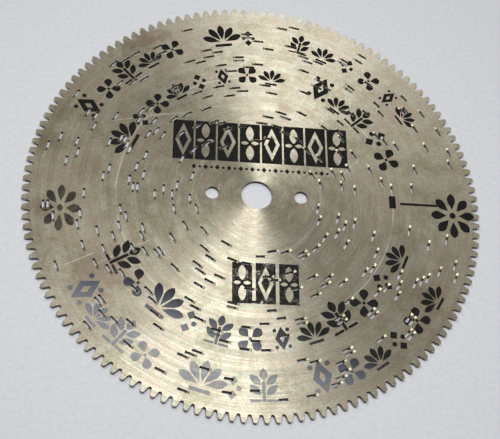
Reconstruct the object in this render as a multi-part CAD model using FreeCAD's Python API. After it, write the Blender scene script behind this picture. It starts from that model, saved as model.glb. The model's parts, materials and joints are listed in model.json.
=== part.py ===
import FreeCAD, Part
import math
import os

# Tune disc of a disc music box: one toothed sheet of spring steel with a projection punched down for each note.
# The disc lies flat with its projections down, its spindle axis on Z, its drive holes along X.

# Sheet
disc_diameter = 235.0
sheet_thickness = 0.6

# Rim teeth, each a rounded tip with two shoulders over a wider root
tooth_count = 135
tooth_height = 4.0
tooth_gap_width = 1.4
tooth_flank_taper = 0.75
tooth_shoulder_drop = 0.8

# Holes that seat on the player's turntable
spindle_hole_diameter = 16.0
drive_hole_diameter = 7.0
drive_hole_spacing = 45.8

# Note tracks, from the bare hub round the drive holes out to the bare edge under the teeth
hub_margin = 5.7
track_pitch = 2.2
rim_margin = 2.6

# Slots that the projections are punched from
slot_length = 5.0
slot_width = 1.1
slot_land = 1.4

# Projections, folded down at the slot's root and back under towards the sheet
projection_depth = 2.0
strip_thinning = 0.8
fold_reach = 1.3
fold_knee_drop = 0.4
fold_toe_reach = 0.8
fold_tip_back = 0.45
fold_tip_gap = 0.2

# Tune, in degrees of one turn, run clockwise from its first beat
tune_start = -11.5
tune_sweep = 346.0
eighths_per_bar = 6

# Score: each bar is a chord's root and six eighths of melody, as steps of the scale, with a dot for silence
opening = (
    (0, "13 . 18 . 25 ."),
    (0, "26 . 20 19 18 ."),
    (4, "8 . 13 . 22 ."),
    (4, "24 . 15 . 20 ."),
    (4, "3 . 12 . 19 ."),
    (1, "22 23 24 . 8 ."),
    (0, "18 . 11 . 25 ."),
    (0, "14 . 23 . 9 ."),
)
answer = (
    (3, "21 . 5 . 12 ."),
    (3, "17 18 19 . 24 ."),
    (0, "7 . 16 . 23 ."),
    (5, "12 . 21 . 26 ."),
    (1, "22 . 3 . 15 ."),
    (4, "17 . 25 . 11 ."),
    (0, "9 . 18 . 23 ."),
    (0, "25 . 16 . 4 ."),
)
middle = (
    (5, "12 . 21 . 26 ."),
    (1, "24 . 8 9 10 ."),
    (5, "19 . 26 . 5 ."),
    (4, "11 . 20 . 25 ."),
    (3, "17 . 24 . 10 ."),
    (0, "23 . 2 . 16 ."),
    (4, "25 . 18 . 13 ."),
    (4, "6 . 15 . 22 ."),
)
ending = (
    (3, "10 . 17 . 24 ."),
    (4, "22 . 25 . 3 ."),
    (0, "14 . 21 . 26 ."),
    (0, "25 . . . 9 ."),
)
score = opening + answer + middle + opening[:4] + ending

# Voices: where each one starts on the scale of tracks, and the steps above its root that it sounds, bar after bar
bass_start = 0
chord_start = 5
melody_start = 9
octave = 7
second_beat_chords = ((0, 4), (2, 11), (7, 16), (5, 14), (0, 11))
third_beat_chords = ((2, 9), (4, 18), (12, 21))
melody_doubles = (9, -4, 7, 12, -9, 5, 14, -6, 10)
tracks_tried = 5

# Derived places
tip_radius = disc_diameter / 2
root_radius = tip_radius - tooth_height
root_pitch = 2 * math.pi * root_radius / tooth_count
tooth_root_width = root_pitch - tooth_gap_width
tooth_shoulder_width = tooth_root_width - 2 * tooth_flank_taper
first_track_radius = (drive_hole_spacing + drive_hole_diameter) / 2 + hub_margin
track_count = int((root_radius - rim_margin - first_track_radius) / track_pitch) + 1


def polar(radius, angle, z):
    """A point at a radius and an angle in degrees."""
    turn = math.radians(angle)
    return FreeCAD.Vector(radius * math.cos(turn), radius * math.sin(turn), z)


def tooth_points(index):
    """The five corners of one tooth, from its root on one side over its tip to its root on the other."""
    centre = index * 360.0 / tooth_count
    shoulder_radius = tip_radius - tooth_shoulder_drop
    root_turn = math.degrees(tooth_root_width / 2 / root_radius)
    shoulder_turn = math.degrees(tooth_shoulder_width / 2 / shoulder_radius)
    return [
        polar(root_radius, centre - root_turn, projection_depth),
        polar(shoulder_radius, centre - shoulder_turn, projection_depth),
        polar(tip_radius, centre, projection_depth),
        polar(shoulder_radius, centre + shoulder_turn, projection_depth),
        polar(root_radius, centre + root_turn, projection_depth),
    ]


def rim_wire():
    """The toothed outline of the sheet."""
    points = []
    for index in range(tooth_count):
        points += tooth_points(index)
    return Part.makePolygon(points + points[:1])


def round_hole_wire(x, diameter):
    """A hole's edge in the sheet's underside, on the X axis."""
    centre = FreeCAD.Vector(x, 0, projection_depth)
    return Part.Wire(Part.makeCircle(diameter / 2, centre))


def slot_wire(radius, angle):
    """One punched slot, square to its radius, with its middle at the angle."""
    low, high = radius - slot_width / 2, radius + slot_width / 2
    half = slot_length / 2
    corners = [(low, -half), (high, -half), (high, half), (low, half)]
    points = [FreeCAD.Vector(x, y, projection_depth) for x, y in corners]
    wire = Part.makePolygon(points + points[:1])
    wire.rotate(FreeCAD.Vector(), FreeCAD.Vector(0, 0, 1), angle)
    return wire


def beside(start, end, distance):
    """The line from start to end, moved to its right by a distance."""
    along = (end - start).normalize()
    step = FreeCAD.Vector(along.y, -along.x, 0) * distance
    return start + step, end + step


def crossing(first, second):
    """Where two lines in the XY plane cross."""
    a, b = first[1] - first[0], second[1] - second[0]
    between = second[0] - first[0]
    share = (between.x * b.y - between.y * b.x) / (a.x * b.y - a.y * b.x)
    return first[0] + a * share


def fold_points():
    """The folded strip's section: X runs along the slot from its root, Y is up from the sheet's underside."""
    crest = FreeCAD.Vector(0, sheet_thickness, 0)
    knee = FreeCAD.Vector(fold_reach, -fold_knee_drop, 0)
    toe = FreeCAD.Vector(fold_toe_reach, -projection_depth, 0)
    tip = FreeCAD.Vector(-fold_tip_back, -fold_tip_gap - sheet_thickness / 2, 0)
    strip = sheet_thickness * strip_thinning
    inner_bend = crossing(beside(knee, toe, strip), beside(toe, tip, strip))
    return [crest, knee, toe, tip, inner_bend, FreeCAD.Vector()]


def projection(radius, angle):
    """One projection, as wide as its slot, its root at the slot's end that lies counter-clockwise."""
    low = radius - slot_width / 2
    root = slot_length / 2
    points = [FreeCAD.Vector(low, root - p.x, projection_depth + p.y) for p in fold_points()]
    section = Part.Face(Part.makePolygon(points + points[:1]))
    solid = section.extrude(FreeCAD.Vector(slot_width, 0, 0))
    solid.rotate(FreeCAD.Vector(), FreeCAD.Vector(0, 0, 1), angle)
    return solid


def turn_of(choices, bar):
    """The choice whose turn it is in a bar, when they follow one another."""
    return choices[bar % len(choices)]


def bar_notes(bar, chord, melody):
    """The notes of one bar, each as its eighth in the bar and its step on the scale of tracks."""
    notes = [(0, bass_start + chord)]
    notes += [(2, chord_start + chord + step) for step in turn_of(second_beat_chords, bar)]
    notes += [(4, chord_start + chord + step) for step in turn_of(third_beat_chords, bar)]
    tune = [(eighth, melody_start + int(word)) for eighth, word in enumerate(melody.split()) if word != "."]
    notes += tune
    notes.append((0, tune[0][1] + turn_of(melody_doubles, bar)))
    return notes


def track_radius(track):
    return first_track_radius + track * track_pitch


def has_room(track, angle, ends):
    """Whether a slot fits on a track after the last one there."""
    need = math.degrees((slot_length + slot_land) / track_radius(track))
    return track not in ends or ends[track] - angle >= need


def note_places():
    """Each note's track radius and angle. A note whose track is busy sounds on the nearest free one, or not at all."""
    eighth_angle = tune_sweep / (len(score) * eighths_per_bar)
    ends = {}
    places = []
    for bar, (chord, melody) in enumerate(score):
        for eighth, wanted in sorted(bar_notes(bar, chord, melody)):
            angle = tune_start - (bar * eighths_per_bar + eighth) * eighth_angle
            while wanted >= track_count:
                wanted -= octave
            nearest = sorted(range(track_count), key=lambda track: abs(track - wanted))
            for track in nearest[:tracks_tried]:
                if has_room(track, angle, ends):
                    ends[track] = angle
                    places.append((track_radius(track), angle))
                    break
    return places


def tune_disc():
    """The whole sheet with its teeth, holes, slots and projections, as one solid."""
    places = note_places()
    holes = [round_hole_wire(0, spindle_hole_diameter)]
    holes += [round_hole_wire(side * drive_hole_spacing / 2, drive_hole_diameter) for side in (-1, 1)]
    holes += [slot_wire(radius, angle) for radius, angle in places]
    blank = Part.Face([rim_wire()] + [hole.reversed() for hole in holes])
    sheet = blank.extrude(FreeCAD.Vector(0, 0, sheet_thickness))
    print("tracks", track_count, "projections", len(places))
    return sheet.multiFuse([projection(radius, angle) for radius, angle in places]).Solids[0]


os.makedirs("parts", exist_ok=True)
tune_disc().exportStep("parts/tune_disc.step")
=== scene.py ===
import bmesh
import bpy
import json
import math
from mathutils import Matrix, Quaternion, Vector


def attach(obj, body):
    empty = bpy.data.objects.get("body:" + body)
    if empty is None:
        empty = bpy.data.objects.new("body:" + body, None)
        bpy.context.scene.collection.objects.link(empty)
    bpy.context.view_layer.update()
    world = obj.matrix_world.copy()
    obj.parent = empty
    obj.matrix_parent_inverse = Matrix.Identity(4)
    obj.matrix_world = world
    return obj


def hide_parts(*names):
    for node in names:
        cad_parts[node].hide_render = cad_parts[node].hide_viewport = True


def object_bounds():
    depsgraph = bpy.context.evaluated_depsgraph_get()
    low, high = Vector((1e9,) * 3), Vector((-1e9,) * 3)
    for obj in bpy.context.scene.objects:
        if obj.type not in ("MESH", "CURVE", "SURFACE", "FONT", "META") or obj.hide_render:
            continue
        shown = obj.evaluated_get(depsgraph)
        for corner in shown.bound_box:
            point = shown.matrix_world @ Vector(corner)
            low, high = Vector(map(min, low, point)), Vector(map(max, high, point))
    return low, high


# Tune disc of a disc music box: a toothed steel sheet with slots, folded projections and worn black print
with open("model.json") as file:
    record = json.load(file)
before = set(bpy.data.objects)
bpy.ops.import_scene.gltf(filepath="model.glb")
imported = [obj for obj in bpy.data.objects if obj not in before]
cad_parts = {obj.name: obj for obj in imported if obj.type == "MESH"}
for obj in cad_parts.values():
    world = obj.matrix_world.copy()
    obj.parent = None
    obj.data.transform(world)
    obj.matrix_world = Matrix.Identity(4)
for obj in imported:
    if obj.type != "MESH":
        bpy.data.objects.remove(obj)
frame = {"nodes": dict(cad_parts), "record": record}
cad_low, cad_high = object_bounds()

# Sizes in metres, from the frame where it holds them. The sheet lies a film of ink under the CAD box's top.
mm = 0.001
mounts = {m["name"]: m for m in frame["record"]["mounts"]}
spindle_radius = mounts["spindle_hole"]["dims"]["r_mm"] * mm
drive_radius = mounts["drive_hole_right"]["dims"]["r_mm"] * mm
drive_reach = mounts["drive_hole_right"]["pos_m"][0]
sheet_gauge = mounts["spindle_hole"]["dims"]["length_mm"] * mm
ink_film = 0.02 * mm
sheet_top = cad_high.z - ink_film
sheet_under = cad_high.z - sheet_gauge
tip_radius = cad_high.x

# Marks on the disc are placed in rim units: the teeth's tips lie 1.01 of them from the spindle
rim_unit = tip_radius / 1.01

# How near two points lie to count as one, and how near the top or the tips a point lies to count as on them
frame_weld = 0.001 * mm
weld_gap = 0.002 * mm
top_slack = 0.01 * mm
tip_slack = 0.05 * mm

# The photograph's camera, found from the rim's ellipse and the holes
photo_size = (500, 439)
focal_pixels = 955.0
camera_place = Vector((-0.0606, -0.2245, 0.4315))
camera_target = Vector((-0.0036, -0.0142, cad_high.z))
camera_roll = math.radians(16.7)


def add_camera():
    """The camera at the photograph's place, its long side across."""
    data = bpy.data.cameras.new("camera")
    camera = bpy.data.objects.new("camera", data)
    bpy.context.collection.objects.link(camera)
    data.sensor_width = 36.0
    data.lens = data.sensor_width * focal_pixels / photo_size[0]
    data.clip_start = 0.01
    look = (camera_target - camera_place).to_track_quat("-Z", "Y")
    camera.rotation_mode = "QUATERNION"
    camera.rotation_quaternion = look @ Quaternion((0, 0, 1), camera_roll)
    camera.location = camera_place
    bpy.context.scene.camera = camera


def clear_selection():
    """Leaves edit mode and deselects everything."""
    if bpy.context.object and bpy.context.object.mode != "OBJECT":
        bpy.ops.object.mode_set(mode="OBJECT")
    bpy.ops.object.select_all(action="DESELECT")


def take(obj):
    """Makes an object the only one selected, and the active one."""
    clear_selection()
    obj.select_set(True)
    bpy.context.view_layer.objects.active = obj


def settle(obj):
    """Moves an object's place, turn and scale into its mesh."""
    take(obj)
    bpy.ops.object.transform_apply(location=True, rotation=True, scale=True)


def joined(copies, name):
    """Joins copies into one named object."""
    clear_selection()
    for copy in copies:
        copy.select_set(True)
    bpy.context.view_layer.objects.active = copies[0]
    bpy.ops.object.join()
    copies[0].name = name
    return copies[0]


def placed_copy(shape, place):
    """A copy of a shape with its own mesh, moved by a matrix."""
    copy = shape.copy()
    copy.data = shape.data.copy()
    copy.data.transform(place)
    bpy.context.collection.objects.link(copy)
    return copy


# Reading the disc from the frame


def top_loops():
    """The closed edges of the sheet's top face, as lists of points, read from the frame's own mesh."""
    mesh = frame["nodes"]["tune_disc"].data
    work = bmesh.new()
    work.from_mesh(mesh)
    bmesh.ops.remove_doubles(work, verts=work.verts, dist=frame_weld)
    work.normal_update()
    work.verts.index_update()
    top = {f for f in work.faces if f.normal.z > 0.99 and f.calc_center_median().z > cad_high.z - top_slack}
    rim = {}
    for face in top:
        for loop in face.loops:
            others = [f for f in loop.edge.link_faces if f is not face and f in top]
            if not others:
                rim[loop.vert.index] = loop.link_loop_next.vert.index
    places = [v.co.copy() for v in work.verts]
    work.free()
    loops = []
    while rim:
        start, at = rim.popitem()
        loop = [start]
        while at != start:
            loop.append(at)
            at = rim.pop(at)
        loops.append([places[i] for i in loop])
    return loops


def read_disc():
    """The teeth's count and each slot's radius, angle, length and width. A slot is a loop of four corners."""
    loops = sorted(top_loops(), key=len, reverse=True)
    teeth = sum(1 for p in loops[0] if p.xy.length > tip_radius - tip_slack)
    slots = []
    for loop in [loop for loop in loops[1:] if len(loop) == 4]:
        middle = sum(loop, Vector()) / 4
        across = middle.xy.normalized()
        along = Vector((-across.y, across.x))
        length = max(p.xy.dot(along) for p in loop) - min(p.xy.dot(along) for p in loop)
        width = max(p.xy.dot(across) for p in loop) - min(p.xy.dot(across) for p in loop)
        slots.append((middle.xy.length, math.atan2(middle.y, middle.x), length, width))
    return teeth, sorted(slots)


# Rim teeth of the finished sheet
tooth_depth = 4.0 * mm
tip_round = 1.2 * mm
gap_round = 0.95 * mm
edge_break = 0.06 * mm

# Sides of the round holes
spindle_sides = 72
drive_sides = 40

# Dimple that the punch leaves at the root of each slot: half its width, half its length, how far its middle
# lies past the slot's end, its depth there, its lap over the sheet and its edge's height on it
dimple_wide = 0.9 * mm
dimple_long = 0.58 * mm
dimple_reach = 0.42 * mm
dimple_dip = 0.28 * mm
dimple_lap = 0.07 * mm
dimple_rim = 0.004 * mm
dimple_steps = 10

# How much wider than the strip the punch's burr leaves each slot, on each side
slot_ease = 0.1 * mm


def arc_points(centre, radius, start, end, steps):
    """Points along an arc in the XY plane, angles in degrees."""
    points = []
    for n in range(steps + 1):
        turn = math.radians(start + (end - start) * n / steps)
        points.append(centre + Vector((math.cos(turn), math.sin(turn), 0)) * radius)
    return points


def circle_points(centre, radius, sides):
    """Evenly spaced points round a circle."""
    return arc_points(centre, radius, 0, 360 - 360 / sides, sides - 1)


def rim_points():
    """The rim's outline: a rounded tip and a rounded gap for each tooth."""
    points = []
    half = math.pi / tooth_count
    for n in range(tooth_count):
        tip = Matrix.Rotation(2 * half * n, 3, "Z")
        gap = Matrix.Rotation(2 * half * (n + 0.5), 3, "Z")
        crown = arc_points(Vector((tip_radius - tip_round, 0, 0)), tip_round, -75, 75, 6)
        throat = arc_points(Vector((tip_radius - tooth_depth + gap_round, 0, 0)), gap_round, 260, 100, 5)
        points += [tip @ p for p in crown]
        points += [gap @ p for p in throat]
    return points


def slot_points(slot, grow=0.0):
    """One slot's outline, its far corners just broken, widened at its root for the dimple."""
    radius, angle, length, width = slot
    along, across = length / 2 + grow, width / 2 + slot_ease + grow
    cut = width / 6
    wide, long = dimple_wide + grow, dimple_long + grow
    neck = math.acos(across / wide)
    points = [(cut - across, -along), (across - cut, -along), (across, cut - along)]
    for n in range(dimple_steps + 1):
        turn = -neck + (math.pi + 2 * neck) * n / dimple_steps
        points.append((wide * math.cos(turn), length / 2 + dimple_reach + long * math.sin(turn)))
    points.append((-across, cut - along))
    turn = Matrix.Rotation(angle, 3, "Z")
    return [turn @ Vector((radius + x, y, 0)) for x, y in points]


def flat_curve(name, outlines, thickness):
    """A filled flat curve with a thickness, from closed outlines of straight steps."""
    curve = bpy.data.curves.new(name, "CURVE")
    curve.dimensions = "2D"
    curve.fill_mode = "BOTH"
    curve.extrude = thickness / 2
    for points in outlines:
        spline = curve.splines.new("POLY")
        spline.points.add(len(points) - 1)
        for place, point in zip(spline.points, points):
            place.co = (point[0], point[1], 0, 1)
        spline.use_cyclic_u = True
    obj = bpy.data.objects.new(name, curve)
    bpy.context.collection.objects.link(obj)
    return obj


def curve_to_mesh(obj):
    """Turns a curve into a mesh with no doubles."""
    take(obj)
    bpy.ops.object.convert(target="MESH")
    obj = bpy.context.object
    bpy.ops.object.mode_set(mode="EDIT")
    bpy.ops.mesh.select_all(action="SELECT")
    bpy.ops.mesh.remove_doubles(threshold=weld_gap)
    bpy.ops.object.mode_set(mode="OBJECT")
    return obj


def crisp_faces(sheet):
    """Marks the outline of the sheet's two flat faces sharp, so that they shade flat up to their edges."""
    work = bmesh.new()
    work.from_mesh(sheet.data)
    for edge in work.edges:
        flat = [abs(face.normal.z) > 0.999 for face in edge.link_faces]
        if any(flat) and not all(flat):
            edge.smooth = False
    work.to_mesh(sheet.data)
    work.free()


def make_sheet():
    """The toothed sheet with its holes and slots, its edges slightly broken."""
    outlines = [rim_points(), circle_points(Vector(), spindle_radius, spindle_sides)]
    for side in (-1, 1):
        outlines.append(circle_points(Vector((side * drive_reach, 0, 0)), drive_radius, drive_sides))
    outlines += [slot_points(slot) for slot in slots]
    sheet = flat_curve("sheet", outlines, sheet_top - sheet_under - 2 * edge_break)
    sheet.data.bevel_depth = edge_break
    sheet.data.bevel_resolution = 1
    sheet.data.offset = -edge_break
    sheet = curve_to_mesh(sheet)
    sheet.location.z = (sheet_top + sheet_under) / 2
    settle(sheet)
    bpy.ops.object.shade_smooth_by_angle(angle=math.radians(40))
    crisp_faces(sheet)
    return sheet


# Folded strip of one projection: its thickness, its clearance from the slot's sides, how far past the slot's
# end it starts, its two bends, and how its tip leans and stays clear of the sheet
strip_gauge = 0.5 * mm
strip_side_gap = 0.02 * mm
root_tuck = 0.3 * mm
bend_radius = 0.9 * mm
curl_radius = 0.5 * mm
tip_lean = 0.12 * mm
tip_gap = 0.1 * mm


def pick_edge(mesh, place):
    """Selects, in edit mode, the two vertices of the strip's end nearest a place in the YZ plane."""
    work = bmesh.from_edit_mesh(mesh)
    for v in work.verts:
        v.select = False
    nearest = sorted(work.verts, key=lambda v: (v.co.yz - Vector(place)).length)[:2]
    for v in nearest:
        v.select = True
    work.select_flush_mode()
    bmesh.update_edit_mesh(mesh)


def make_fold(length, width):
    """One projection at radius 0 and angle 0: a strip bent down at its root and curled back up at its tip."""
    root = length / 2
    level = sheet_top - dimple_dip * 0.85 - strip_gauge / 2
    bpy.ops.mesh.primitive_plane_add(size=1, location=(0, root + root_tuck / 2, level))
    fold = bpy.context.object
    fold.name = "fold"
    fold.scale = (width - 2 * strip_side_gap, root_tuck, 1)
    settle(fold)
    bpy.ops.object.mode_set(mode="EDIT")
    bpy.context.tool_settings.mesh_select_mode = (True, False, False)
    pick_edge(fold.data, (root, level))
    bpy.ops.mesh.spin(steps=3, angle=math.pi / 2, center=(0, root, level - bend_radius), axis=(-1, 0, 0))
    curl_level = strip_gauge / 2 + curl_radius
    drop = level - bend_radius - curl_level
    bpy.ops.mesh.extrude_region_move(TRANSFORM_OT_translate={"value": (0, 0, -drop)})
    bpy.ops.mesh.spin(
        steps=4, angle=math.pi, center=(0, root - bend_radius + curl_radius, curl_level), axis=(-1, 0, 0)
    )
    rise = sheet_under - tip_gap - strip_gauge / 2 - curl_level
    bpy.ops.mesh.extrude_region_move(TRANSFORM_OT_translate={"value": (0, tip_lean, rise)})
    bpy.ops.mesh.select_all(action="SELECT")
    bpy.ops.mesh.remove_doubles(threshold=weld_gap)
    bpy.ops.mesh.normals_make_consistent(inside=False)
    bpy.ops.object.mode_set(mode="OBJECT")
    gauge = fold.modifiers.new("gauge", "SOLIDIFY")
    gauge.thickness = strip_gauge
    gauge.offset = 0
    bpy.ops.object.modifier_apply(modifier=gauge.name)
    bpy.ops.object.shade_smooth_by_angle(angle=math.radians(50))
    return fold


def make_dimple(length, width):
    """The dished metal at one slot's root, lapping over the sheet round it and sloping down to the fold."""
    bpy.ops.mesh.primitive_grid_add(x_subdivisions=6, y_subdivisions=3, size=2)
    dimple = bpy.context.object
    dimple.name = "dimple"
    wide, long = dimple_wide + dimple_lap, dimple_long + dimple_lap
    first = math.asin(width / 2 / wide)
    last = math.radians(165)
    for v in dimple.data.vertices:
        share = (v.co.y + 1) / 2
        turn = first + (last - first) * share
        dip = dimple_dip * (1 - v.co.x ** 4) * (1 - share) ** 1.1
        y = length / 2 + dimple_reach - long * math.cos(turn)
        v.co = (v.co.x * wide * math.sin(turn), y, sheet_top + dimple_rim - dip)
    bpy.ops.object.shade_smooth()
    return dimple


def repeat_at_slots(shape, name):
    """A shape made at radius 0 and angle 0, copied to every slot and joined."""
    copies = []
    for radius, angle, _, _ in slots:
        place = Matrix.Rotation(angle, 4, "Z") @ Matrix.Translation((radius, 0, 0))
        copies.append(placed_copy(shape, place))
    bpy.data.objects.remove(shape)
    return joined(copies, name)


# Printed ornaments. Each motif is drawn 1 high, up along Y, from outlines that don't touch.
leaf_steps = 12


def leaf(base, tip, half_width, fullness=0.8, shift=1.0):
    """A leaf or petal between two points. A shift over 1 moves its widest place towards the tip."""
    base, tip = Vector(base), Vector(tip)
    run = tip - base
    side = Vector((-run.y, run.x)).normalized()
    right, left = [], []
    for n in range(1, leaf_steps):
        share = n / leaf_steps
        out = half_width * math.sin(math.pi * share ** shift) ** fullness
        right.append(base + run * share - side * out)
        left.append(base + run * share + side * out)
    return [base] + right + [tip] + left[::-1]


def lozenge(x, y, half_width, half_height):
    """A lozenge about a middle."""
    return [(x + half_width, y), (x, y + half_height), (x - half_width, y), (x, y - half_height)]


def block(x, y, half_width, half_height):
    """An upright rectangle about a middle."""
    return [
        (x - half_width, y - half_height), (x + half_width, y - half_height),
        (x + half_width, y + half_height), (x - half_width, y + half_height),
    ]


def dot(x, y, radius):
    """A round dot about a middle."""
    return [tuple(p.xy) for p in arc_points(Vector((x, y, 0)), radius, 0, 345, 15)]


def fan(centre, angles, inner, outer, half_width):
    """Petals that spread from a centre, at angles in degrees."""
    petals = []
    for angle in angles:
        way = Vector((math.cos(math.radians(angle)), math.sin(math.radians(angle))))
        petals.append(leaf(Vector(centre) + way * inner, Vector(centre) + way * outer, half_width, 0.7, 1.5))
    return petals


motifs = {
    "sprig": [
        block(0, -0.2, 0.05, 0.3),
        leaf((0, 0.12), (0, 0.5), 0.12),
        leaf((0.08, 0.0), (0.4, 0.3), 0.11),
        leaf((-0.08, 0.0), (-0.4, 0.3), 0.11),
        leaf((0.08, -0.3), (0.4, 0.0), 0.11),
        leaf((-0.08, -0.3), (-0.4, 0.0), 0.11),
        block(0.24, -0.46, 0.16, 0.04),
        block(-0.24, -0.46, 0.16, 0.04),
    ],
    "palmette": fan((0, -0.3), (20, 55, 90, 125, 160), 0.12, 0.78, 0.13) + [block(0, -0.44, 0.32, 0.06)],
    "harlequin": [
        lozenge(0, 0, 0.3, 0.5),
        lozenge(0, 0, 0.1, 0.17),
        dot(0.27, 0.36, 0.08),
        dot(-0.27, 0.36, 0.08),
        dot(0.27, -0.36, 0.08),
        dot(-0.27, -0.36, 0.08),
    ],
    "quatrefoil": fan((0, 0), (45, 135, 225, 315), 0.1, 0.62, 0.2) + [dot(0, 0, 0.07)],
    "diamonds": [
        lozenge(0, 0.3, 0.2, 0.2),
        lozenge(0, -0.3, 0.2, 0.2),
        dot(0.26, 0, 0.11),
        dot(-0.26, 0, 0.11),
    ],
    "lozenge_tile": [block(0, 0, 0.23, 0.5), lozenge(0, 0, 0.18, 0.42), lozenge(0, 0, 0.1, 0.24)],
    "petal_tile": [
        block(0, 0, 0.23, 0.5),
        leaf((0, 0.06), (0, 0.44), 0.09, 0.7),
        leaf((0, -0.06), (0, -0.44), 0.09, 0.7),
        leaf((0.03, 0), (0.2, 0), 0.045, 0.7),
        leaf((-0.03, 0), (-0.2, 0), 0.045, 0.7),
    ],
    "flower": fan((0, 0), range(0, 360, 45), 0.14, 0.5, 0.095) + [dot(0, 0, 0.07)],
    "small_lozenge": [lozenge(0, 0, 0.42, 0.5)],
    "small_dot": [dot(0, 0, 0.24)],
    "square": [block(0, 0, 0.42, 0.5)],
    "line": [block(0, 0, 0.5, 0.5)],
}

# Rows of motifs along arcs: name, ink, middle angles of the first and last motif, baseline radius and height
# in rim units, whether the motifs stand outwards, and the motifs with their shares of the height, or a dot for
# a gap
arc_rows = [
    ("print_outer_top", "black", 152, 33, 0.795, 0.125, True,
     "harlequin:1 quatrefoil:.7 sprig:1 palmette:.7 quatrefoil:.7 . palmette:1 diamonds:.7 . sprig:.9 "
     "palmette:.7 diamonds:.7 quatrefoil:.7 harlequin:.7 palmette:.7"),
    ("print_inner_top", "black", 157, 20, 0.585, 0.125, True,
     "palmette:1 diamonds:.7 quatrefoil:.7 palmette:.7 diamonds:.7 harlequin:.7 quatrefoil:.7 palmette:.7 . "
     "harlequin:1.1 palmette:.7 sprig:1 diamonds:.9 quatrefoil:.8"),
    ("print_inner_bottom", "fading", -150, -24, 0.715, 0.145, False,
     "sprig:1 quatrefoil:.7 palmette:1 diamonds:.7 sprig:.9 quatrefoil:.7 harlequin:.7 palmette:.7 sprig:1 "
     "quatrefoil:.7 diamonds:.7 palmette:.7"),
    ("print_outer_bottom", "fading", -146, -31, 0.925, 0.14, False,
     "harlequin:1 palmette:.7 sprig:1 quatrefoil:.7 . palmette:1 diamonds:.7 sprig:1 . harlequin:1 "
     "quatrefoil:.7 palmette:.7 diamonds:.7 quatrefoil:.7 palmette:.7"),
]

# Straight rows: name, ink, the first and last motif's middle, baseline and height in rim units, and motifs
straight_rows = [
    ("print_band", "black", -0.33, 0.37, 0.16, 0.2, " ".join(["lozenge_tile:1 petal_tile:1"] * 4)),
    ("print_small_row", "black", -0.28, 0.32, 0.113, 0.026, " ".join(["small_lozenge:1 small_dot:1"] * 12)),
    ("print_centre", "worn", -0.065, 0.135, -0.51, 0.185, "petal_tile:1 lozenge_tile:1 petal_tile:1"),
]

# Single ornaments: name, ink, middle, width and height in rim units, and motif
single_ornaments = [
    ("print_start_flower", "black", 0.884, -0.049, 0.2, 0.22, "flower"),
    ("print_start_line", "black", 0.731, -0.004, 0.17, 0.012, "line"),
    ("print_start_square", "black", 0.611, 0.002, 0.036, 0.062, "square"),
    ("print_faded_flower", "thin", -0.842, -0.114, 0.17, 0.22, "flower"),
]

# How far the ink reaches below and above the sheet's top, and how far it stops short of a slot
ink_below = 0.04 * mm
ink_above = 0.012 * mm
ink_margin = 0.04 * mm


def make_motifs():
    """One solid of each motif, to copy."""
    shapes = {}
    for name, outlines in motifs.items():
        shapes[name] = curve_to_mesh(flat_curve(name, outlines, ink_below + ink_above))
    return shapes


def stamp(shape, x, y, width, height, turn):
    """A copy of a motif on the sheet's top, its place and size in rim units."""
    level = sheet_top + (ink_above - ink_below) / 2
    place = Matrix.Translation((x * rim_unit, y * rim_unit, level))
    size = Matrix.Diagonal((width * rim_unit, height * rim_unit, 1, 1))
    return placed_copy(shape, place @ Matrix.Rotation(turn, 4, "Z") @ size)


def read_row(words):
    """Each motif of a row as its share of the way along, its name and its share of the height."""
    words = words.split()
    for n, word in enumerate(words):
        if word != ".":
            name, share = word.split(":")
            yield n / (len(words) - 1), name, float(share)


def arc_row(shapes, start, end, baseline, height, outwards, words):
    """The copies of one row of motifs along an arc."""
    copies = []
    for along, motif, share in read_row(words):
        angle = math.radians(start + (end - start) * along)
        size = height * share
        radius = baseline + size / 2 if outwards else baseline - size / 2
        turn = angle - math.pi / 2 if outwards else angle + math.pi / 2
        x, y = radius * math.cos(angle), radius * math.sin(angle)
        copies.append(stamp(shapes[motif], x, y, size, size, turn))
    return copies


def straight_row(shapes, start, end, baseline, height, words):
    """The copies of one straight row of motifs."""
    copies = []
    for along, motif, share in read_row(words):
        x = start + (end - start) * along
        copies.append(stamp(shapes[motif], x, baseline + height / 2, height * share, height * share, 0))
    return copies


def cut_clear(pieces):
    """Cuts printed pieces clear of every slot."""
    punches = curve_to_mesh(flat_curve("punches", [slot_points(slot, ink_margin) for slot in slots], 1 * mm))
    punches.location.z = sheet_top
    settle(punches)
    for piece in pieces:
        take(piece)
        cut = piece.modifiers.new("cut", "BOOLEAN")
        cut.operation = "DIFFERENCE"
        cut.solver = "EXACT"
        cut.object = punches
        bpy.ops.object.modifier_apply(modifier=cut.name)
    bpy.data.objects.remove(punches)


def make_print():
    """All printed pieces, cut clear of the slots, each with the name of its ink."""
    shapes = make_motifs()
    pieces = []
    for name, ink, *row in arc_rows:
        pieces.append((joined(arc_row(shapes, *row), name), ink))
    for name, ink, *row in straight_rows:
        pieces.append((joined(straight_row(shapes, *row), name), ink))
    for name, ink, x, y, width, height, motif in single_ornaments:
        copy = stamp(shapes[motif], x, y, width, height, 0)
        copy.name = name
        pieces.append((copy, ink))
    for shape in shapes.values():
        bpy.data.objects.remove(shape)
    cut_clear([piece for piece, _ in pieces])
    return pieces


# Materials

# Tones of the steel
olive_patch = (0.34, 0.345, 0.228, 1)
warm_patch = (0.536, 0.47, 0.362, 1)
pale_blotch = (0.55, 0.555, 0.443, 1)
ruddy_grain = (0.564, 0.437, 0.362, 1)
dark_fleck = (0.273, 0.273, 0.203, 1)
streak_shade = (0.30, 0.291, 0.217, 1)
stain_brown = (0.25, 0.17, 0.125, 1)
rubbed_bright = (0.80, 0.74, 0.64, 1)

# Tones of the ink, and the way across the disc along which some of it has faded. The faded tone is partly a
# painted bluish-grey sheen, not only thinner ink.
ink_deep = (0.002, 0.002, 0.002, 1)
ink_dry = (0.016, 0.015, 0.014, 1)
faded_ink_sheen = (0.33, 0.36, 0.45, 1)
fade_and_sheen_way = (-0.31, -0.95, 0)

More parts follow.
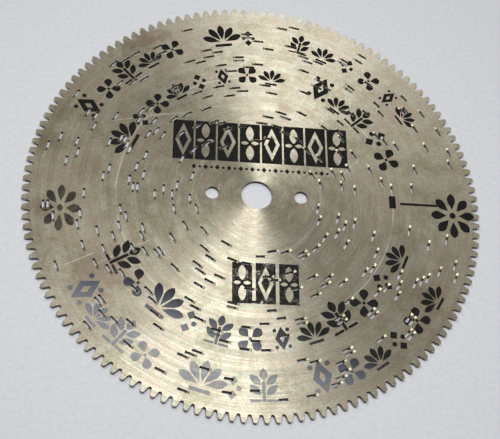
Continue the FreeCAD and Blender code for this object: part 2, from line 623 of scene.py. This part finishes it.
# Tones of the floor and of the light around
floor_shade = (0.72, 0.735, 0.77, 1)
floor_light = (0.78, 0.79, 0.81, 1)
room_light = (0.94, 0.96, 1.0, 1)
room_strength = 0.07


def put(tree, kind, sockets=None, **settings):
    """Adds a node, sets its options, and gives its inputs numbers, colours or other nodes' outputs."""
    node = tree.nodes.new(kind)
    for key, value in settings.items():
        setattr(node, key, value)
    for key, value in (sockets or {}).items():
        if isinstance(value, bpy.types.NodeSocket):
            tree.links.new(value, node.inputs[key])
        else:
            node.inputs[key].default_value = value
    return node


def calc(tree, operation, *values):
    """The result of one Math node."""
    return put(tree, "ShaderNodeMath", dict(enumerate(values)), operation=operation).outputs[0]


def vector_calc(tree, operation, *values):
    """The vector that one Vector Math node puts out."""
    return put(tree, "ShaderNodeVectorMath", dict(enumerate(values)), operation=operation).outputs["Vector"]


def ramp(tree, value, low, high, to_low=0.0, to_high=1.0):
    """A value's smooth change from one number to another as it passes from low to high."""
    sockets = {"Value": value, "From Min": low, "From Max": high, "To Min": to_low, "To Max": to_high}
    return put(tree, "ShaderNodeMapRange", sockets, interpolation_type="SMOOTHSTEP").outputs["Result"]


def mix_colour(tree, share, first, second):
    """Two colours mixed by a share."""
    return put(tree, "ShaderNodeMix", {0: share, 6: first, 7: second}, data_type="RGBA").outputs[2]


def noise(tree, vector, scale, detail=2.0, roughness=0.5):
    """A noise's value at a vector."""
    sockets = {"Vector": vector, "Scale": scale, "Detail": detail, "Roughness": roughness}
    return put(tree, "ShaderNodeTexNoise", sockets).outputs["Fac"]


def place_group(tree, group, values=None):
    """The outputs of a node group placed in a material, some of its inputs given their own values."""
    return put(tree, "ShaderNodeGroup", values, node_tree=group).outputs


def new_group(name, inputs, outputs):
    """A node group with named numbers going in and named masks coming out, and its two end nodes."""
    group = bpy.data.node_groups.new(name, "ShaderNodeTree")
    for label, value in inputs.items():
        socket = group.interface.new_socket(label, in_out="INPUT", socket_type="NodeSocketFloat")
        socket.default_value = value
    for label in outputs:
        group.interface.new_socket(label, in_out="OUTPUT", socket_type="NodeSocketFloat")
    given = group.nodes.new("NodeGroupInput").outputs
    result = group.nodes.new("NodeGroupOutput").inputs
    return group, given, result


def object_place(tree):
    """Object coordinates, flattened onto the disc's plane."""
    place = put(tree, "ShaderNodeTexCoord").outputs["Object"]
    return vector_calc(tree, "MULTIPLY", place, (1, 1, 0))


def radius_of(tree, place):
    """A place's distance from the spindle's axis."""
    return put(tree, "ShaderNodeVectorMath", {0: place}, operation="LENGTH").outputs["Value"]


def make_brushing_group():
    """Fine streaks in circles round the spindle. Fineness is across them, per metre, and Reach along them."""
    group, given, result = new_group("circular_brushing", {"Fineness": 1400.0, "Reach": 3.0}, ["Streaks"])
    place = object_place(group)
    across = calc(group, "MULTIPLY", radius_of(group, place), given["Fineness"])
    way = vector_calc(group, "NORMALIZE", place)
    stretch = {0: way, "Scale": given["Reach"]}
    round_way = put(group, "ShaderNodeVectorMath", stretch, operation="SCALE").outputs[0]
    lift = put(group, "ShaderNodeCombineXYZ", {"Z": across}).outputs[0]
    value = noise(group, vector_calc(group, "ADD", round_way, lift), 1.0, 3.0, 0.6)
    group.links.new(value, result["Streaks"])
    return group


def make_mottling_group():
    """Soft patches and a finer grain over them, as on old plated sheet."""
    inputs = {"Patch Scale": 26.0, "Blotch Scale": 110.0, "Grain Scale": 480.0, "Fleck Scale": 1100.0}
    group, given, result = new_group("mottling", inputs, ["Patches", "Blotches", "Grain", "Flecks"])
    place = object_place(group)
    group.links.new(noise(group, place, given["Patch Scale"], 4.0, 0.62), result["Patches"])
    group.links.new(noise(group, place, given["Blotch Scale"], 4.0, 0.7), result["Blotches"])
    group.links.new(noise(group, place, given["Grain Scale"], 3.0, 0.6), result["Grain"])
    group.links.new(noise(group, place, given["Fleck Scale"], 2.0, 0.6), result["Flecks"])
    return group


def make_stain_group():
    """One blotch round a place on the disc, ragged at its edge."""
    group, given, result = new_group("stain", {"X": 0.0, "Y": 0.0, "Reach": 0.01}, ["Mask"])
    place = object_place(group)
    centre = put(group, "ShaderNodeCombineXYZ", {"X": given["X"], "Y": given["Y"]}).outputs[0]
    away = radius_of(group, vector_calc(group, "SUBTRACT", place, centre))
    share = calc(group, "DIVIDE", away, given["Reach"])
    ragged = calc(group, "MULTIPLY_ADD", noise(group, place, 260.0, 4.0, 0.65), 1.6, -0.8)
    group.links.new(ramp(group, calc(group, "ADD", share, ragged), 0.2, 1.1, 1.0, 0.0), result["Mask"])
    return group


def make_ring_group():
    """A scribed or rubbed ring about the spindle, broken along its way."""
    inputs = {"Radius": 0.03, "Half Width": 0.0003, "Whole": 0.4}
    group, given, result = new_group("scribed_ring", inputs, ["Mask"])
    place = object_place(group)
    away = calc(group, "ABSOLUTE", calc(group, "SUBTRACT", radius_of(group, place), given["Radius"]))
    line = ramp(group, calc(group, "DIVIDE", away, given["Half Width"]), 0.0, 1.0, 1.0, 0.0)
    more = calc(group, "SUBTRACT", given["Whole"], 0.5)
    breaks = calc(group, "ADD", noise(group, place, 28.0, 3.0, 0.6), more)
    group.links.new(calc(group, "MULTIPLY", line, ramp(group, breaks, 0.4, 0.6)), result["Mask"])
    return group


def make_scratch_group():
    """One thin straight scratch with a middle, a turn in radians, a half length and a half width."""
    inputs = {"X": 0.0, "Y": 0.0, "Turn": 0.0, "Half Length": 0.01, "Half Width": 0.0001}
    group, given, result = new_group("scratch", inputs, ["Mask"])
    place = object_place(group)
    centre = put(group, "ShaderNodeCombineXYZ", {"X": given["X"], "Y": given["Y"]}).outputs[0]
    sockets = {"Vector": place, "Center": centre, "Angle": calc(group, "MULTIPLY", given["Turn"], -1.0)}
    turned = put(group, "ShaderNodeVectorRotate", sockets, rotation_type="Z_AXIS").outputs[0]
    local = vector_calc(group, "SUBTRACT", turned, centre)
    parts = put(group, "ShaderNodeSeparateXYZ", {0: local}).outputs
    along = calc(group, "DIVIDE", calc(group, "ABSOLUTE", parts["X"]), given["Half Length"])
    across = calc(group, "DIVIDE", calc(group, "ABSOLUTE", parts["Y"]), given["Half Width"])
    ends = ramp(group, along, 0.6, 1.0, 1.0, 0.0)
    sides = ramp(group, across, 0.3, 1.0, 1.0, 0.0)
    group.links.new(calc(group, "MULTIPLY", ends, sides), result["Mask"])
    return group


def make_wear_group():
    """Where worn ink still covers: Cover is its share, and Grain Scale sizes the specks that it lacks."""
    group, given, result = new_group("worn_print", {"Cover": 0.9, "Grain Scale": 1500.0}, ["Mask", "Depth"])
    place = object_place(group)
    specks = noise(group, place, given["Grain Scale"], 3.0, 0.7)
    blots = noise(group, place, 170.0, 3.0, 0.6)
    cloud = calc(group, "ADD", calc(group, "MULTIPLY", specks, 0.6), calc(group, "MULTIPLY", blots, 0.4))
    edge = calc(group, "SUBTRACT", 1.0, given["Cover"])
    low = calc(group, "MULTIPLY_ADD", edge, 0.5, 0.22)
    group.links.new(ramp(group, cloud, low, calc(group, "ADD", low, 0.1)), result["Mask"])
    group.links.new(blots, result["Depth"])
    return group


def new_material(name):
    """A material with its shader."""
    material = bpy.data.materials.new(name)
    material.use_nodes = True
    return material, material.node_tree, material.node_tree.nodes["Principled BSDF"]


# Stains, as x, y and reach in rim units, and how strong
stains = [
    (-0.52, 0.79, 0.09, 0.6), (-0.43, 0.82, 0.05, 0.5), (-0.60, 0.75, 0.05, 0.4),
    (-0.93, 0.21, 0.07, 0.55), (-0.74, 0.09, 0.10, 0.3), (-0.67, -0.39, 0.15, 0.5),
    (-0.92, -0.12, 0.07, 0.4), (-0.95, -0.23, 0.06, 0.35), (0.13, 0.45, 0.05, 0.4),
    (-0.88, 0.36, 0.07, 0.3), (0.71, -0.46, 0.12, 0.25), (0.62, 0.52, 0.12, 0.2),
]

# Rings, as radius and half width in rim units, how whole, and how strong
rings = [
    (0.283, 0.004, 0.55, 0.4), (0.292, 0.0025, 0.5, 0.35), (0.315, 0.003, 0.45, 0.3),
    (0.36, 0.003, 0.42, 0.25), (0.613, 0.006, 0.54, 0.75), (0.628, 0.003, 0.42, 0.5),
    (0.60, 0.0025, 0.4, 0.4),
]

# Scratches, as x, y, turn in degrees, half length and half width in rim units, and how strong they all are
scratch_strength = 0.7
scratches = [
    (-0.745, -0.345, 27, 0.085, 0.0032), (-0.56, -0.30, 29, 0.16, 0.0022), (-0.52, 0.36, 12, 0.16, 0.0026),
    (-0.42, 0.385, 8, 0.12, 0.0022), (0.17, -0.30, -38, 0.07, 0.0022), (0.42, 0.16, 48, 0.1, 0.0022),
    (-0.60, 0.10, 78, 0.14, 0.0022), (0.20, 0.47, 62, 0.08, 0.0026),
]


def mottled_tone(tree, patches):
    """The steel's colour before streaks, stains and wear, from soft patches down to fine flecks."""
    colour = mix_colour(tree, ramp(tree, patches["Patches"], 0.38, 0.62), olive_patch, warm_patch)
    colour = mix_colour(tree, ramp(tree, patches["Blotches"], 0.42, 0.60), colour, pale_blotch)
    colour = mix_colour(tree, ramp(tree, patches["Grain"], 0.44, 0.58, 0.0, 0.75), colour, ruddy_grain)
    return mix_colour(tree, ramp(tree, patches["Flecks"], 0.46, 0.62, 0.0, 0.45), colour, dark_fleck)


def add_stains(tree, colour):
    """A colour with the brown stains over it."""
    stain = make_stain_group()
    for x, y, reach, strength in stains:
        spot = place_group(tree, stain, {"X": x * rim_unit, "Y": y * rim_unit, "Reach": reach * rim_unit})
        colour = mix_colour(tree, calc(tree, "MULTIPLY", spot["Mask"], strength), colour, stain_brown)
    return colour


def rubbed_lines(tree):
    """A mask of the rings worn round the disc and of its scratches."""
    ring, scratch = make_ring_group(), make_scratch_group()
    rubbed = 0.0
    for radius, width, whole, strength in rings:
        values = {"Radius": radius * rim_unit, "Half Width": width * rim_unit, "Whole": whole}
        line = place_group(tree, ring, values)
        rubbed = calc(tree, "MAXIMUM", rubbed, calc(tree, "MULTIPLY", line["Mask"], strength))
    for x, y, turn, length, width in scratches:
        values = {
            "X": x * rim_unit,
            "Y": y * rim_unit,
            "Turn": math.radians(turn),
            "Half Length": length * rim_unit,
            "Half Width": width * rim_unit,
        }
        line = place_group(tree, scratch, values)
        rubbed = calc(tree, "MAXIMUM", rubbed, calc(tree, "MULTIPLY", line["Mask"], scratch_strength))
    return rubbed


def make_steel():
    """Plated sheet steel, brushed in circles about the spindle, mottled, lightly stained and scratched."""
    steel, tree, shader = new_material("sheet_steel")
    brushing = make_brushing_group()
    fine = place_group(tree, brushing)["Streaks"]
    broad = place_group(tree, brushing, {"Fineness": 320.0, "Reach": 1.6})["Streaks"]
    streaks = calc(tree, "ADD", calc(tree, "MULTIPLY", fine, 0.6), calc(tree, "MULTIPLY", broad, 0.4))
    patches = place_group(tree, make_mottling_group())
    colour = mottled_tone(tree, patches)
    brushed = ramp(tree, radius_of(tree, object_place(tree)), 0.3 * rim_unit, 0.7 * rim_unit, 0.55, 0.3)
    colour = mix_colour(tree, ramp(tree, streaks, 0.34, 0.62, 0.0, brushed), colour, streak_shade)
    colour = add_stains(tree, colour)
    rubbed = rubbed_lines(tree)
    colour = mix_colour(tree, rubbed, colour, rubbed_bright)
    tree.links.new(colour, shader.inputs["Base Color"])
    rough = calc(tree, "MULTIPLY_ADD", rubbed, 0.2, ramp(tree, streaks, 0.35, 0.65, 0.44, 0.53))
    tree.links.new(rough, shader.inputs["Roughness"])
    tree.links.new(calc(tree, "MULTIPLY_ADD", rubbed, -0.5, 1.0), shader.inputs["Metallic"])
    shader.inputs["Anisotropic"].default_value = 0.92
    shader.inputs["Anisotropic Rotation"].default_value = 0.25
    tangent = put(tree, "ShaderNodeTangent", direction_type="RADIAL", axis="Z")
    tree.links.new(tangent.outputs["Tangent"], shader.inputs["Tangent"])
    height = calc(tree, "ADD", streaks, calc(tree, "MULTIPLY", patches["Grain"], 0.5))
    bump = put(tree, "ShaderNodeBump", {"Height": height, "Strength": 0.12, "Distance": 0.02 * mm})
    tree.links.new(bump.outputs["Normal"], shader.inputs["Normal"])
    return steel


def make_ink(name, wear, cover, body, faded_body, fade_sheen_from, fade_sheen_to):
    """Black printing ink with specks missing. Where it has faded, its film is thinner and its colour turns
    towards a painted bluish-grey sheen.
    """
    ink, tree, shader = new_material(name)
    sockets = {0: object_place(tree), 1: fade_and_sheen_way}
    along = put(tree, "ShaderNodeVectorMath", sockets, operation="DOT_PRODUCT").outputs["Value"]
    fade_and_sheen = ramp(tree, along, fade_sheen_from * rim_unit, fade_sheen_to * rim_unit)
    print_wear = place_group(tree, wear, {"Cover": cover})
    tone = mix_colour(tree, print_wear["Depth"], ink_deep, ink_dry)
    # Painted sheen: along the way across the disc the ink's colour turns bluish grey, while its thinner film
    # there is real wear
    tree.links.new(mix_colour(tree, fade_and_sheen, tone, faded_ink_sheen), shader.inputs["Base Color"])
    unevenness = ramp(tree, print_wear["Depth"], 0.3, 0.7, -0.12, 0.12)
    film = calc(tree, "ADD", ramp(tree, fade_and_sheen, 0.0, 1.0, body, faded_body), unevenness)
    tree.links.new(calc(tree, "MULTIPLY", print_wear["Mask"], film), shader.inputs["Alpha"])
    shader.inputs["Roughness"].default_value = 0.55
    shader.inputs["Specular IOR Level"].default_value = 0.12
    return ink


# Inks: how much of the print they cover, how dense their film is fresh and faded, and where along its way the
# thinning and the painted bluish-grey sheen start and end in rim units, which for an ink that hasn't faded is
# past the rim
ink_kinds = {
    "black": (0.88, 1.0, 1.0, 2.0, 3.0),
    # This ink's bluish-grey tone along its way is a painted sheen as well as wear
    "fading": (0.85, 0.95, 0.5, 0.5, 0.85),
    "worn": (0.72, 0.9, 0.9, 2.0, 3.0),
    "thin": (0.85, 0.6, 0.6, 2.0, 3.0),
}

# Lamps: name, place, target, size, watts and colour
cool, warm = (0.97, 0.985, 1.0), (1.0, 0.975, 0.90)
lamps = [
    ("key_softbox", (0.075, 0, 0.8), (0, 0, 0), (0.22, 0.1), 2.4, cool),
    ("near_softbox", (-0.07, -0.02, 0.45), (0, 0, 0), (0.06, 0.06), 0.54, cool),
    ("side_softbox", (-0.5, 0.25, 1.3), (0, 0, 0), (0.3, 0.3), 0.9, cool),
    ("ceiling_softbox", (-0.5, 2.1, 4.25), (0, 0.1, 0), (5.5, 3.25), 57.5, warm),
]


def add_area_light(name, place, target, size, power, colour):
    """A soft rectangular lamp that faces a target."""
    data = bpy.data.lights.new(name, "AREA")
    data.shape = "RECTANGLE"
    data.size, data.size_y = size
    data.energy = power
    data.color = colour
    lamp = bpy.data.objects.new(name, data)
    bpy.context.collection.objects.link(lamp)
    lamp.location = place
    lamp.rotation_euler = (Vector(target) - Vector(place)).to_track_quat("-Z", "Y").to_euler()


def make_stage():
    """The plain pale floor, the lamps and the even light around."""
    bpy.ops.mesh.primitive_plane_add(size=16, location=(0, 0, 0))
    floor = bpy.context.object
    floor.name = "floor"
    paint, tree, shader = new_material("pale_floor")
    grain = noise(tree, object_place(tree), 500.0, 3.0, 0.6)
    tint = mix_colour(tree, ramp(tree, grain, 0.3, 0.7), floor_shade, floor_light)
    tree.links.new(tint, shader.inputs["Base Color"])
    shader.inputs["Roughness"].default_value = 0.8
    floor.data.materials.append(paint)
    world = bpy.data.worlds.new("studio")
    world.use_nodes = True
    around = world.node_tree.nodes["Background"].inputs
    around["Color"].default_value = room_light
    around["Strength"].default_value = room_strength
    bpy.context.scene.world = world
    for lamp in lamps:
        add_area_light(*lamp)


bpy.context.scene.view_settings.view_transform = "Standard"
add_camera()
tooth_count, slots = read_disc()
make_stage()
steel = make_steel()
wear = make_wear_group()
inks = {kind: make_ink(kind + "_ink", wear, *values) for kind, values in ink_kinds.items()}
sheet = make_sheet()
projections = repeat_at_slots(make_fold(slots[0][2], slots[0][3]), "projections")
dimples = repeat_at_slots(make_dimple(slots[0][2], slots[0][3]), "root_dimples")
pieces = [(sheet, steel), (projections, steel), (dimples, steel)]
pieces += [(piece, inks[ink]) for piece, ink in make_print()]
for piece, material in pieces:
    piece.data.materials.clear()
    piece.data.materials.append(material)
    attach(piece, "root")
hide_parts("tune_disc")
